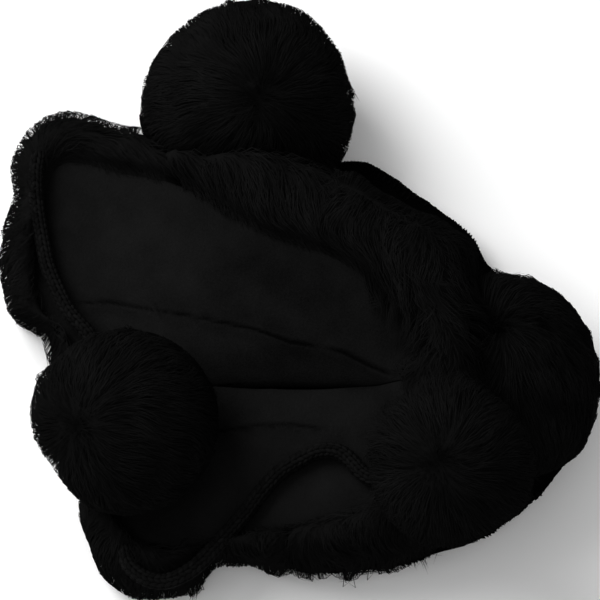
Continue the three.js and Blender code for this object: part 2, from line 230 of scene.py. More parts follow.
# Materials

def material(name, low, high, roughness, specular):
    """A matt black cloth or hair whose colour runs between two greys."""
    made = bpy.data.materials.new(name)
    made.use_nodes = True
    nodes = made.node_tree.nodes
    links = made.node_tree.links
    shader = nodes["Principled BSDF"]
    shader.inputs["Roughness"].default_value = roughness
    shader.inputs["Specular IOR Level"].default_value = specular
    ramp = nodes.new("ShaderNodeValToRGB")
    ramp.color_ramp.elements[0].color = (low, low, low, 1)
    ramp.color_ramp.elements[1].color = (high, high, high, 1)
    links.new(ramp.outputs["Color"], shader.inputs["Base Color"])
    return made, nodes, links, shader, ramp


def hair_material(name, low, high, roughness, specular):
    """Hair and yarn, lit along each strand by the tones laid on it."""
    made, nodes, links, _, ramp = material(name, low, high, roughness, specular)
    tone = nodes.new("ShaderNodeAttribute")
    tone.attribute_name = "tone"
    links.new(tone.outputs["Fac"], ramp.inputs["Fac"])
    return made


MOTTLE_SCALE = 55
MOTTLE_SHARE = 0.5
NAP_CONTRAST = 0.7
NAP_BUMP = 0.8


def cloth_material(name, low, high, grain, height, roughness, specular):
    """Brushed cloth: painted light and shade with nap tones, soft mottling, and a short nap as bump."""
    made, nodes, links, shader, ramp = material(name, low, high, roughness, specular)
    where = nodes.new("ShaderNodeTexCoord")
    tone = nodes.new("ShaderNodeAttribute")
    tone.attribute_name = "tone"
    mixed = nodes.new("ShaderNodeMath")
    mixed.operation = "MULTIPLY_ADD"
    mixed.inputs[1].default_value = MOTTLE_SHARE
    mottle = nodes.new("ShaderNodeTexNoise")
    mottle.inputs["Scale"].default_value = MOTTLE_SCALE
    mottle.inputs["Detail"].default_value = 6
    nap = nodes.new("ShaderNodeTexNoise")
    nap.inputs["Scale"].default_value = grain
    nap.inputs["Detail"].default_value = 5
    nap.inputs["Roughness"].default_value = 0.7
    grained = nodes.new("ShaderNodeMath")
    grained.operation = "MULTIPLY_ADD"
    grained.inputs[1].default_value = NAP_CONTRAST
    bump = nodes.new("ShaderNodeBump")
    bump.inputs["Distance"].default_value = height
    bump.inputs["Strength"].default_value = NAP_BUMP
    links.new(where.outputs["Object"], mottle.inputs["Vector"])
    links.new(where.outputs["Object"], nap.inputs["Vector"])
    links.new(mottle.outputs["Fac"], mixed.inputs[0])
    links.new(tone.outputs["Fac"], mixed.inputs[2])
    links.new(nap.outputs["Fac"], grained.inputs[0])
    links.new(mixed.outputs[0], grained.inputs[2])
    links.new(grained.outputs[0], ramp.inputs["Fac"])
    links.new(nap.outputs["Fac"], bump.inputs["Height"])
    links.new(bump.outputs["Normal"], shader.inputs["Normal"])
    return made


FUR_BLACK = hair_material("fur_black", 0.0024, 0.0074, 0.8, 0.0)
CORD_BLACK = hair_material("cord_black", 0.001, 0.0054, 0.8, 0.02)
KNIT_BLACK = hair_material("knit_black", 0.0006, 0.0028, 0.9, 0.0)
FLEECE_BLACK = cloth_material("fleece_black", 0.0012, 0.0088, 800, 0.5 * MM, 1.0, 0.0)


def finish_piece(obj, look, slot, *nodes):
    obj.data.materials.clear()
    obj.data.materials.append(look)
    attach(obj, "root")
    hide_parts(*nodes)


# Tie cords

CORD_DIAMETER = 9.5 * MM
CORD_ROUTES = {
    "tie_cord_left": [
        (-156, 91, 49.5), (-157.5, 76, 48), (-156.5, 58.5, 46), (-153.5, 40, 44.5), (-149.5, 21, 44.2),
        (-143.5, 5.5, 44.5), (-136, -9, 45), (-126.5, -20.5, 46), (-117.5, -33.5, 46.3), (-111, -48, 46),
        (-108.5, -62.5, 46), (-110, -74, 50), (-112, -81, 57), (-111, -84, 66),
    ],
    "tie_cord_right": [
        (-102, -152, 46), (-99.5, -162, 46.5), (-91.5, -170.5, 47.5), (-79, -174, 48.5),
        (-63.5, -167.5, 49.5), (-47.5, -151.5, 51), (-33, -135.5, 53.5), (-22, -121.5, 56.8),
        (-12, -111.5, 59.2), (0, -104.5, 62), (11, -100.5, 65), (21.5, -102, 67.6), (29, -108.5, 69),
        (35.5, -116.5, 70.8), (44, -121, 74), (53, -119.5, 80), (60, -116, 88), (65, -114, 97),
    ],
}
STITCH_ROW = 3.7 * MM
STITCH_WALES = 5
STITCH_LENGTH = 5.9 * MM
STITCH_WIDTH = 2.75 * MM
STITCH_SHARES = np.array([[0.0, 0.22, 0.5, 0.78, 1.0]])
STITCH_FULLNESS = np.array([[0.45, 0.95, 1.05, 0.85, 0.0]])
STITCH_SLIP = 0.12 * MM
CORE_SHARE = 0.66


def smooth_route(points, step):
    """A smooth line through the points in steps of about that length, evened out by their distances."""
    points = np.array(points)
    points = np.concatenate([[2 * points[0] - points[1]], points, [2 * points[-1] - points[-2]]])
    gaps = np.linalg.norm(np.diff(points, axis=0), axis=1) ** 0.5
    line = []
    for i in range(1, len(points) - 2):
        before, here, there, beyond = points[i - 1 : i + 3]
        d0, d1, d2 = gaps[i - 1 : i + 2]
        leave = ((here - before) / d0 - (there - before) / (d0 + d1) + (there - here) / d1) * d1
        reach = ((there - here) / d1 - (beyond - here) / (d1 + d2) + (beyond - there) / d2) * d1
        count = max(2, round(float(np.linalg.norm(there - here)) / step))
        t = np.linspace(0, 1, count, endpoint=False)[:, None]
        line.append(
            here * (2 * t**3 - 3 * t**2 + 1)
            + leave * (t**3 - 2 * t**2 + t)
            + there * (3 * t**2 - 2 * t**3)
            + reach * (t**3 - t**2)
        )
    return np.concatenate([*line, points[-2:-1]])


def carried_frames(line):
    """Two directions across a line that turn with it and don't twist."""
    along = unit(np.gradient(line, axis=0))
    up = unit(np.cross(np.cross(along[0], [0, 0, 1]), along[0]))
    first = []
    for direction in along:
        up = unit(up - direction * float(up @ direction))
        first.append(up)
    first = np.array(first)
    return first, np.cross(along, first)


def knitted_cord(name, node, rng):
    """A knitted tube cord: columns of V stitches round a core, each V of two slanted yarn loops."""
    line = smooth_route(np.array(CORD_ROUTES[node]) * MM + DRAWING_SHIFT, 1.0 * MM)
    first, second = carried_frames(line)
    run = np.concatenate([[0], np.cumsum(np.linalg.norm(np.diff(line, axis=0), axis=1))])
    radius = CORD_DIAMETER / 2
    rows = int((run[-1] - STITCH_LENGTH * 0.4) / STITCH_ROW)
    wale = 2 * math.pi / STITCH_WALES
    row, column, leg = (a.ravel() for a in np.meshgrid(np.arange(rows), np.arange(STITCH_WALES), [-1, 1]))
    share = STITCH_SHARES
    spread = leg[:, None] * wale * (0.1 + 0.34 * share)
    place = (row[:, None] + 0.5 * (column[:, None] % 2)) * STITCH_ROW + STITCH_LENGTH * share
    place = place + rng.normal(0, STITCH_SLIP, (len(row), 1))
    turn = column[:, None] * wale + spread + rng.normal(0, 0.03, (len(row), 1))
    lift = radius - STITCH_WIDTH * (0.62 - 0.2 * np.sin(share * math.pi))
    place = np.clip(place, 0, run[-1])

    def at(values):
        return np.stack([np.interp(place, run, values[:, k]) for k in range(3)], axis=-1)

    outward = unit(at(first)) * np.cos(turn)[..., None] + unit(at(second)) * np.sin(turn)[..., None]
    centres = at(line) + outward * lift[..., None]
    radii = STITCH_WIDTH / 2 * STITCH_FULLNESS * np.ones((len(row), 1))
    tones = np.clip(rng.normal(0.5, 0.12, (len(row), 1)) + 0.25 * (share - 0.5), 0, 1)
    yarn = strands(name, centres, radii, outward[:, 2], 5, tones * np.ones_like(radii))
    core = tube("core", line[::3], radius * CORE_SHARE, 8)
    paint_tones(core, np.zeros(len(core.data.vertices)))
    cord = joined(name, [yarn, core])
    smooth_faces(cord)
    finish_piece(cord, CORD_BLACK, "cord", node)
    return cord, line


def tube(name, line, radius, sides):
    """A plain closed tube along a line."""
    first, second = carried_frames(line)
    angles = np.arange(sides) * 2 * math.pi / sides
    rings = line[:, None, :] + radius * (
        first[:, None, :] * np.cos(angles)[:, None] + second[:, None, :] * np.sin(angles)[:, None]
    )
    step = np.arange(sides)
    after = (step + 1) % sides
    low = (np.arange(len(line) - 1) * sides)[:, None]
    walls = np.stack([low + step, low + after, low + sides + after, low + sides + step], axis=2)
    last = (len(line) - 1) * sides
    caps = np.stack([step[::-1], last + step])
    return mesh_object(name, rings.reshape(-1, 3), [walls.reshape(-1, 4), caps])


place_camera()
RNG = np.random.default_rng(SEED)
CORDS = {}
for end in ("left", "right"):
    CORDS["tie_cord_" + end] = knitted_cord("knitted_tie_" + end, "tie_cord_" + end, RNG)

# The fleece lining

SLIT_LEFT = np.array([-64.4, -59.5]) * MM + DRAWING_SHIFT[:2]
SLIT_RIGHT = np.array([57.8, -66.6]) * MM + DRAWING_SHIFT[:2]
SLIT_HALF = 6 * MM
SLIT_GAP_HALF = 0.2 * MM
SLIT_SHUT_HALF = 0.12 * MM
SLIT_SHUT_FROM = 0.84
SLIT_EASE = 9 * MM
SLIT_RAISED = 4.4 * MM
ROLL_DROP = 3.0 * MM
ROLL_WIDTH = 11 * MM
FOLD_FADE = 10 * MM
FOLD_NEAR = 5 * MM
SHARP_NICK = 3
CREST_SHARE = 0.6
FALL_STEEPNESS = 2.3
FALL_REACH = 1.2
CORD_KEEPS = 11 * MM
TOP_LAYER = 34 * MM
UNDER_CLOTH = 0.6 * MM

# Creases of the lining by the pixels that they run through in the picture. In millimetres: how wide and deep
# the nick is, how high the cloth stands beside it, how far it falls away below it, and how wide that is
CREASES = [
    {
        "line": [
            (70, 303), (110, 303), (160, 311), (190, 316), (220, 322), (255, 329), (290, 342), (322, 347),
        ],
        "nick": 1.4, "depth": 2.2, "stand": 2.2, "fall": 2.4, "width": 9,
    },
    {
        "line": [(322, 346), (345, 352), (370, 365), (400, 378)],
        "nick": 1.4, "depth": 2.4, "stand": 1.8, "fall": 2.0, "width": 7,
    },
    {
        "line": [(205, 434), (255, 426), (290, 424), (330, 429)],
        "nick": 1.4, "depth": 1.1, "stand": 1.0, "fall": 0.8, "width": 6,
    },
    {
        "line": [(105, 190), (104, 230), (107, 262), (103, 300)],
        "nick": 6, "depth": 1.6, "stand": 0.6, "fall": 0.4, "width": 12,
    },
    {
        "line": [(166, 553), (190, 548), (212, 540)],
        "nick": 1.3, "depth": 1.8, "stand": 1.2, "fall": 0.8, "width": 6,
    },
    {
        "line": [(215, 250), (260, 275), (310, 300)],
        "nick": 11, "depth": 1.6, "stand": 0.8, "fall": 0.4, "width": 16,
    },
]

# Where the cloth and fur lie off the frame's solids: a pixel of the picture, the change's reach in pixels,
# and the move in millimetres to the right, away from the viewer in plan, and towards the camera
CLOTH_MOVES = [
    (558, 515, 32, -8.5, 6.5, 0), (515, 548, 32, -5, 13, 0), (455, 565, 28, 0, 6, 0), (360, 170, 22, 1, 5, 0),
    (415, 200, 18, -1, -2.5, 0), (468, 245, 20, 3, 3, 0), (272, 582, 22, 0, 7, 0), (335, 590, 28, 0, 3, 0),
]
PIECE_MOVES = {
    "brow_fur": [
        (190, 168, 20, -1, 8, 5), (230, 170, 20, 0, 8, 5), (270, 170, 20, 0, 8, 5), (310, 170, 18, 0, 7, 4),
        (182, 168, 18, -9, 0, 2), (292, 550, 14, -5, 0, 0), (310, 586, 28, 0, 3, 0), (390, 578, 28, 0, 8, 0),
        (500, 540, 28, -7, 15, 0), (432, 226, 26, 4, 4, 1), (468, 258, 22, 5, 4, 1),
    ],
    "upper_flap_fur": [
        (72, 125, 30, -1, 4, 0), (32, 345, 20, 9, 9, 0), (44, 358, 12, 6, 5, 0), (8, 200, 18, 7, 0, 0),
        (116, 124, 14, 0, -3, 0), (168, 164, 16, 8, -2, 2),
    ],
    "lower_flap_fur": [
        (218, 590, 26, -4, 20, 0), (252, 588, 18, 0, 5, 0), (84, 545, 26, 7, 2, 0), (165, 604, 30, 0, 6, 0),
    ],
    "ear_pompom_left": [
        (190, 168, 22, 0, 2, -4), (235, 170, 24, 0, 3, -5), (285, 172, 24, 0, 3, -5),
        (165, 55, 50, 2, -1.5, 0), (300, 8, 25, 1, 3, 0), (358, 80, 30, -2, -1, 0),
    ],
    "ear_pompom_right": [(590, 350, 40, -2.5, 0, 0), (500, 430, 16, 4, 0, -8), (575, 452, 18, 3, -2, 0)],
    "tie_pompom_left": [(50, 475, 28, 4, 3.5, 0), (38, 378, 16, -3, 0, 0)],
    "tie_pompom_right": [(384, 473, 14, 0, 0, -14), (490, 530, 22, -2, 4, 0)],
}


def shaped(points, moves):
    """Moves points by a table of moves, each of which fades out round its pixel."""
    seen = in_picture(points)
    moved = points.copy()
    for x, y, reach, right, away, near in moves:
        share = np.exp(-((seen[:, 0] - x) ** 2 + (seen[:, 1] - y) ** 2) / (2 * reach**2))
        moved += share[:, None] * (np.array([right, away, 0]) + near * TOWARDS_CAMERA) * MM
    return moved


def away_from_line(points, line):
    """For each point, in plan: its distance to a line of points, on which side of the line it lies, and
    how far along the line it is from the nearer end."""
    best = np.full(len(points), 1e9)
    side = np.zeros(len(points))
    inside = np.zeros(len(points))
    lengths = np.linalg.norm(np.diff(line[:, :2], axis=0), axis=1)
    whole = lengths.sum()
    passed = 0.0
    for start, end, length in zip(line[:-1], line[1:], lengths):
        run = (end - start)[:2]
        rel = points[:, :2] - start[:2]
        t = np.clip(rel @ run / (run @ run), 0, 1)
        off = rel - t[:, None] * run
        distance = np.linalg.norm(off, axis=1)
        nearer = distance < best
        best = np.where(nearer, distance, best)
        side = np.where(nearer, np.sign(run[0] * off[:, 1] - run[1] * off[:, 0]), side)
        at = passed + t * length
        inside = np.where(nearer, np.minimum(at, whole - at), inside)
        passed += length
    return best, side, inside


def fleece_lining():
    """The lining: the frame's own sheet made fine, its slit drawn shut and its folds pressed in."""
    lining = copy_of_node("fleece_lining", "fleece_cloth")
    bpy.ops.object.mode_set(mode="EDIT")
    bpy.ops.mesh.select_all(action="SELECT")
    bpy.ops.mesh.tris_convert_to_quads(face_threshold=math.radians(80), shape_threshold=math.radians(80))
    bpy.ops.object.mode_set(mode="OBJECT")
    apply(lining, "SUBSURF", levels=1, render_levels=1)
    make_finer(lining, points_of(lining)[:, 2] > TOP_LAYER, 1)
    points = points_of(lining)
    tree = tree_of(points, lining)
    near_fold = np.zeros(len(points), bool)
    for fold in CREASES:
        fold["path"] = seen_on(tree, fold["line"])
        near_fold |= (away_from_line(points, fold["path"])[0] < FOLD_NEAR) & (fold["nick"] < SHARP_NICK)
    near_fold |= away_from_line(points, np.array([SLIT_LEFT, SLIT_RIGHT]))[0] < SLIT_HALF * 1.6
    make_finer(lining, near_fold & (points[:, 2] > TOP_LAYER), 2)
    move_points(lining, settled(points_of(lining)))
    # The lining's tones: painted light and shade in patches, and painted shade in its nicks
    paint_tones(lining, painted_light_and_nap(points_of(lining)))
    smooth_faces(lining)
    finish_piece(lining, FLEECE_BLACK, "fleece", "fleece_lining")
    return lining


def make_finer(obj, chosen, cuts):
    """Cuts the faces between these points finer."""
    select_points(obj, chosen)
    bpy.ops.object.mode_set(mode="EDIT")
    bpy.ops.mesh.subdivide(number_cuts=cuts, smoothness=0.6)
    bpy.ops.object.mode_set(mode="OBJECT")


def select_points(obj, chosen):
    """Selects these points of a mesh, and the faces between them, for the next edit."""
    pick(obj)
    bpy.ops.object.mode_set(mode="EDIT")
    bpy.ops.mesh.select_mode(type="VERT")
    bpy.ops.mesh.select_all(action="DESELECT")
    bpy.ops.object.mode_set(mode="OBJECT")
    obj.data.vertices.foreach_set("select", chosen)
    obj.data.update()
    bpy.ops.object.mode_set(mode="EDIT")
    bpy.ops.mesh.select_mode(type="FACE")
    bpy.ops.object.mode_set(mode="OBJECT")


def settled(points):
    """Moves the top layer of the laid hat as its cloth lies: the slit drawn shut, folds and soft waves."""
    moved = close_slit(shaped(points, CLOTH_MOVES))
    rise = soft_waves(moved)
    for fold in CREASES:
        distance, side, inside = away_from_line(moved, fold["path"])
        width = fold["width"] * MM
        fade = np.clip(inside / FOLD_FADE, 0, 1)
        nick = fold["depth"] * np.exp(-((distance / (fold["nick"] * MM)) ** 2))
        crest = fold["stand"] * np.exp(-((distance / (CREST_SHARE * width)) ** 2))
        over = distance / width
        fallen = fold["fall"] * (side < 0) * FALL_STEEPNESS * over * np.exp(-(over**2) / FALL_REACH)
        rise += (crest - nick - fallen) * fade * MM
    for _, line in CORDS.values():
        distance = away_from_line(moved, line[::6])[0]
        rise *= 1 - np.exp(-((distance / CORD_KEEPS) ** 2))
    moved[:, 2] += np.where(points[:, 2] > TOP_LAYER, rise, 0)
    return moved


def close_slit(points):
    """Draws the two lips of the slit together, a little up the hat, and rolls the far lip down."""
    run = SLIT_RIGHT - SLIT_LEFT
    rel = points[:, :2] - SLIT_LEFT
    t = np.clip(rel @ run / (run @ run), 0, 1)
    off = rel - t[:, None] * run
    distance = np.linalg.norm(off, axis=1)
    beyond = np.maximum(distance - SLIT_HALF, 0)
    gap = np.where(t < SLIT_SHUT_FROM, SLIT_GAP_HALF, SLIT_SHUT_HALF)
    pull = (SLIT_HALF - gap) * np.exp(-((beyond / SLIT_EASE) ** 2)) * np.clip(distance / SLIT_HALF, 0, 1)
    moved = points.copy()
    moved[:, :2] -= off / np.maximum(distance, 1e-9)[:, None] * pull[:, None]
    top = points[:, 2] > TOP_LAYER
    moved[:, 1] += np.where(top, SLIT_RAISED * np.exp(-((beyond / (2 * SLIT_EASE)) ** 2)), 0)
    inner = np.sin(np.clip(t, 0.04, 0.96) * math.pi) ** 0.5
    roll = ROLL_DROP * np.exp(-((beyond / ROLL_WIDTH) ** 2)) * inner * (off[:, 1] > 0)
    moved[:, 2] -= np.where(top, roll, 0)
    return moved


# Shallow waves of relaxed fleece: each one's height, its turn for each millimetre in x and y, and its start
WAVES = [(0.9, 0.045, 0.06, 1.3), (0.6, 0.1, -0.05, 0.4), (0.35, 0.21, 0.17, 0.0)]
WAVE_SHARE = 0.6


def soft_waves(points):
    x = points[:, 0] / MM
    y = points[:, 1] / MM
    return sum(high * np.sin(x * u + y * v + start) for high, u, v, start in WAVES) * WAVE_SHARE * MM


# Painted light and shade on the lining, over nap lying lighter or darker: a pixel of the picture, the
# patch's reach along and across, the way that it runs in degrees below level, and its change of tone
LIGHT_AND_NAP_PATCHES = [
    (140, 235, 60, 42, 40, 0.22), (120, 185, 40, 12, 12, 0.08), (70, 180, 30, 20, 80, -0.04),
    (100, 314, 32, 9, 4, 0.14), (228, 312, 55, 10, 12, -0.1), (300, 322, 70, 8, 33, 0.1),
    (262, 283, 45, 12, 30, -0.08), (300, 300, 75, 45, 30, -0.12), (335, 262, 36, 14, 33, 0.08),
    (272, 356, 60, 13, 0, -0.2), (215, 342, 25, 8, 10, 0.05), (300, 404, 60, 13, 2, 0.06),
    (352, 352, 26, 8, 40, -0.08),
    (240, 475, 60, 18, -52, 0.28), (290, 495, 48, 24, -25, 0.3), (190, 525, 34, 16, 0, 0.08),
    (175, 250, 40, 8, 60, 0.06), (200, 275, 35, 7, 30, -0.06), (340, 410, 20, 14, 0, 0.08),
]
PLAIN_NAP = -0.14
# How dark the painted shade along each sharp nick is, and its width as a share of the nick
CREASE_SHADE = 0.4
CREASE_SHADE_WIDTH = 0.6


def painted_light_and_nap(points):
    """The lining's tones: painted light and shade patch by patch, and painted shade along each sharp nick."""
    seen = in_picture(points)
    tone = np.full(len(points), PLAIN_NAP)
    for x, y, along, across_it, angle, change in LIGHT_AND_NAP_PATCHES:
        turn = math.radians(angle)
        right = seen[:, 0] - x
        down = seen[:, 1] - y
        u = (right * math.cos(turn) + down * math.sin(turn)) / along
        v = (down * math.cos(turn) - right * math.sin(turn)) / across_it
        tone += change * np.exp(-(u**2 + v**2) / 2)
    # Painted shade darkens the cloth along each sharp nick
    for fold in CREASES:
        if fold["nick"] < SHARP_NICK:
            distance, _, inside = away_from_line(points, fold["path"])
            crease = np.exp(-((distance / (CREASE_SHADE_WIDTH * fold["nick"] * MM)) ** 2))
            tone -= CREASE_SHADE * crease * np.clip(inside / FOLD_FADE, 0, 1)
    return tone


LINING = fleece_lining()

# The knitted crown

CROWN_WALE = 3.6 * MM
CROWN_YARN = 1.15 * MM
CROWN_CORE = 34 * MM
CROWN_CORE_HEIGHT = 32 * MM
CROWN_ROWS = np.radians(np.arange(-46, 84, 4.9))
CROWN_LOWEST = 1.2 * MM
CROWN_BARE = 5 * MM
CROWN_SHARES = np.array([[0.0, 0.55, 1.0]])
CROWN_FULLNESS = np.array([[0.6, 1.0, 0.0]])
CROWN_TONES = np.array([[0.8, 1.0, 0.9]])
BAG_CELL = 1.3 * MM
BAG_KEPT = 0.13
BAG_TONE = 0.1


def knit_crown():
    """The crown's knit: a smooth bag, with its stitches laid on the outside wherever it is bare."""
    bag = copy_of_node("knit_crown", "knit_bag")
    apply(bag, "REMESH", mode="VOXEL", voxel_size=BAG_CELL)
    apply(bag, "DECIMATE", ratio=BAG_KEPT)
    points = settled(points_of(bag))
    points[:, 2] -= np.where(points[:, 2] > TOP_LAYER, UNDER_CLOTH, 0)
    move_points(bag, points)
    paint_tones(bag, np.full(len(bag.data.vertices), BAG_TONE))
    crown = joined("knit_crown_stitched", [crown_stitches(bag), bag])
    smooth_faces(crown)
    finish_piece(crown, KNIT_BLACK, "knit", "knit_crown")
    return crown


def crown_stitches(bag):
    """Columns of V stitches over the crown's wall: each V is two short slanted pieces of yarn. They are
    placed by the way that they face from a core line inside the wall: round the hat, and up it."""
    points = points_of(bag)
    tree = tree_of(points, bag)
    low = points.min(0)
    high = points.max(0)
    middle = (low + high) / 2
    reach = float(np.linalg.norm(high - low))
    steps = np.linspace(0, 2 * math.pi, 721)
    outline = []
    for angle in steps:
        out = np.array([math.cos(angle), math.sin(angle), 0.0])
        start = np.array([middle[0], middle[1], CROWN_CORE_HEIGHT]) + out * reach
        hit = tree.ray_cast(Vector(start), Vector(-out), reach)[0]
        outline.append(float((Vector(start) - hit).length) if hit is not None else reach * 0.6)
    outline = reach - np.array(outline)

    def wall(angles, rises):
        found = []
        for angle, rise in zip(angles.ravel(), rises.ravel()):
            flat = np.array([math.cos(angle), math.sin(angle), 0.0])
            core = np.array([middle[0], middle[1], CROWN_CORE_HEIGHT])
            core += flat * (np.interp(angle % (2 * math.pi), steps, outline) - CROWN_CORE)
            out = flat * math.cos(rise) + np.array([0, 0, math.sin(rise)])
            hit, normal = tree.ray_cast(Vector(core + out * reach), Vector(-out), reach)[:2]
            found.append((*hit, *normal) if hit is not None else (np.nan,) * 6)
        found = np.array(found).reshape(*angles.shape, 6)
        return found[..., :3], found[..., 3:]

    around = np.linalg.norm(np.diff(wall(steps, np.zeros(len(steps)))[0], axis=0), axis=1)
    around = np.minimum(np.nan_to_num(around, nan=0.5 * MM), CROWN_WALE)
    run = np.concatenate([[0], np.cumsum(around)])
    wales = np.interp(np.arange(int(run[-1] / CROWN_WALE)) * CROWN_WALE, run, steps)
    turn = np.gradient(wales)
    column, row, leg = (a.ravel() for a in np.meshgrid(np.arange(len(wales)), CROWN_ROWS, [-1, 1]))
    slant = leg[:, None] * turn[column][:, None]
    angles = wales[column][:, None] + slant * (0.1 + 0.36 * CROWN_SHARES)
    rises = row[:, None] + (CROWN_ROWS[1] - CROWN_ROWS[0]) * 1.35 * (CROWN_SHARES - 0.2)
    centres, normals = wall(angles, rises)
    spread = np.linalg.norm(centres[:, 2] - centres[:, 0], axis=1)
    whole = np.isfinite(centres).all((1, 2)) & (spread < CROWN_WALE * 2.5)
    whole &= np.nan_to_num(centres[..., 2], nan=0).min(1) > CROWN_LOWEST
    trees = neighbour_trees("knit_crown")
    bare = np.array([
        good and not close_above(trees, place[1] + way[1] * 0.1 * MM, way[1], CROWN_BARE)
        for good, place, way in zip(whole, centres, normals)
    ])
    centres = centres[bare] + normals[bare] * CROWN_YARN * 0.3
    radii = CROWN_YARN * CROWN_FULLNESS * np.ones((len(centres), 1))
    tones = np.clip(RNG.normal(0.6, 0.12, (len(centres), 1)), 0, 1) * CROWN_TONES
    return strands("stitches", centres, radii, normals[bare][:, 1], 3, tones)


def neighbour_trees(node):
    """The other solids of the frame that a piece can lie against."""
    return [
        tree_of([v.co for v in other.data.vertices], other)
        for name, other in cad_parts.items()
        if name != node and not name.startswith("tie_cord")
    ]


def close_above(trees, point, normal, reach):
    start = Vector(point)
    way = Vector(normal)
    return any(tree.ray_cast(start, way, reach)[0] is not None for tree in trees)


CROWN = knit_crown()

# Long fur

FLOOR_CLEAR = 0.5 * MM
CONTACT = 4 * MM
HAIR_TAPER = np.array([1.0, 0.85, 0.0])
# Tones of each hair at root, middle and tip: darker towards the root, painted shade deep in the coat
HAIR_TONES_ROOT_SHADED = np.array([0.38, 0.48, 0.54])
HAIR_REACH = np.array([0.45, 0.55])
HAIR_RADIUS = 0.25 * MM
HAIR_LEAN = (60, 84)
HAIR_LOWEST = 0.25 * MM
HAIR_OFF_CLOTH = 0.8 * MM
HAIR_OFF_CORD = 0.4 * MM
ROOT_DEPTH = 0.6 * MM
TUFT_HAIRS = 11
LOOSENESS = 2.5
LOOSEST = 3.5
NEAT = 1.3
COAT_SHARE = 0.88
WHORL_DEPTH = 5 * MM
WHORL_WIDTH = 8 * MM
LINING_NEAR = 14 * MM
GROWS_FROM = 7 * MM
KEPT_BY_CLOTH = 0.4
HIDE_CELL = 3.8 * MM
HIDE_TONE = 0.4

# How high the trim's edge lies over the upper ear pompom, in pixels from the top, and its fall to the right
TRIM_EDGE = (136, 0.1)
# The part of the trim's edge that is turned to that pompom: its left and right end and lowest pixel
EDGE_BY_POMPOM = (140, 345, 178)
EDGE_FACING = 0.3


def fur_skin(node, depth, whorl):
    """The hide under a piece of fur: the frame's solid, smoothed and drawn in by the depth, or grown where
    the depth is below zero, and pulled in at its whorl. It stays as it is beside the lining."""
    skin = copy_of_node(node, node + "_hide")
    apply(skin, "REMESH", mode="VOXEL", voxel_size=HIDE_CELL)
    apply(skin, "SMOOTH", factor=0.5, iterations=10)
    points = points_of(skin)
    normals = normals_of(skin)
    tree = tree_of(points, skin)
    inset = np.full(len(points), depth)
    others = neighbour_trees(node)
    lining_tree = tree_of(points_of(LINING), LINING)
    gaps = np.array([lining_tree.find_nearest(Vector(p))[3] for p in points])
    off_cloth = np.clip(gaps / GROWS_FROM - KEPT_BY_CLOTH, 0, 1)
    for i, (point, normal) in enumerate(zip(points, normals)):
        start = Vector(point - normal * 0.2 * MM)
        through = tree.ray_cast(start, Vector(-normal))[3]
        if through is not None:
            inset[i] = min(depth, 0.4 * through)
        if close_above(others, point, normal, CONTACT + max(-depth, 0)):
            inset[i] = 0
        elif depth < 0:
            inset[i] *= off_cloth[i]
    inset += WHORL_DEPTH * near_whorl(points, whorl, WHORL_WIDTH)
    points = points - normals * inset[:, None]
    if node.endswith("fur"):
        points = settled(points)
    points += (shaped(points, PIECE_MOVES.get(node, [])) - points) * off_cloth[:, None]
    points[:, 2] = np.maximum(points[:, 2], FLOOR_CLEAR)
    move_points(skin, points)
    apply(skin, "SMOOTH", factor=0.5, iterations=4)
    smooth_faces(skin)
    return skin


def near_whorl(points, whorl, width):
    """From 1 at a pompom's whorl to 0 further off. whorl is the pompom's heart and the whorl's place."""
    if whorl is None:
        return np.zeros(len(points))
    heart, place = whorl
    spread = unit(points - heart) - unit(place - heart)[None]
    away = np.linalg.norm(spread, axis=1) * np.linalg.norm(place - heart)
    return np.exp(-((away / width) ** 2))


def scattered(obj, count, rng):
    """Points spread evenly over a piece, with their normals."""
    obj.data.calc_loop_triangles()
    corners = np.empty(len(obj.data.loop_triangles) * 3, np.int32)
    obj.data.loop_triangles.foreach_get("vertices", corners)
    corners = corners.reshape(-1, 3)
    points = points_of(obj)
    normals = normals_of(obj)
    a, b, c = (points[corners[:, k]] for k in range(3))
    area = np.linalg.norm(np.cross(b - a, c - a), axis=1)
    face = rng.choice(len(corners), count, p=area / area.sum())
    u, v = rng.random((2, count))
    fold = u + v > 1
    u[fold] = 1 - u[fold]
    v[fold] = 1 - v[fold]
    weights = np.stack([1 - u - v, u, v], axis=1)[:, :, None]
    chosen = corners[face]
    return (points[chosen] * weights).sum(1), unit((normals[chosen] * weights).sum(1))


def free_of_neighbours(roots, normals, node, reach):
    """Which roots have no other piece or the floor close above them."""
    trees = neighbour_trees(node)
    free = np.array([not close_above(trees, root, normal, reach) for root, normal in zip(roots, normals)])
    return free & ((roots + normals * reach)[:, 2] > -reach * 0.55)


def combed_by_guides(guides, spread=17.0):
    """A way to lay hair that follows drawn guides: each is a pixel of the picture and the way that the
    hair runs there, to the right and down. Hair out of the picture's sight hangs outwards and down."""
    spots = np.array([g[:2] for g in guides], float)
    ways = unit(np.array([g[2:4] for g in guides], float))

    def comb(roots, normals):
        seen = in_picture(roots)
        gap = ((seen[:, None, :] - spots[None]) ** 2).sum(2)
        weight = np.exp(-gap / (2 * spread**2)) + 1e-6 / (1 + gap)
        flow = (weight[:, :, None] * ways[None]).sum(1) / weight.sum(1, keepdims=True)
        drawn = flow[:, :1] * PICTURE_RIGHT - flow[:, 1:] * PICTURE_UP
        outward = roots - AIM
        outward[:, 2] = 0
        hanging = unit(outward) * 0.5 - np.array([0, 0, 1.0])
        facing = np.clip((normals @ TOWARDS_CAMERA - 0.05) / 0.4, 0, 1)[:, None]
        return across(drawn * facing + hanging * (1 - facing), normals)

    return comb


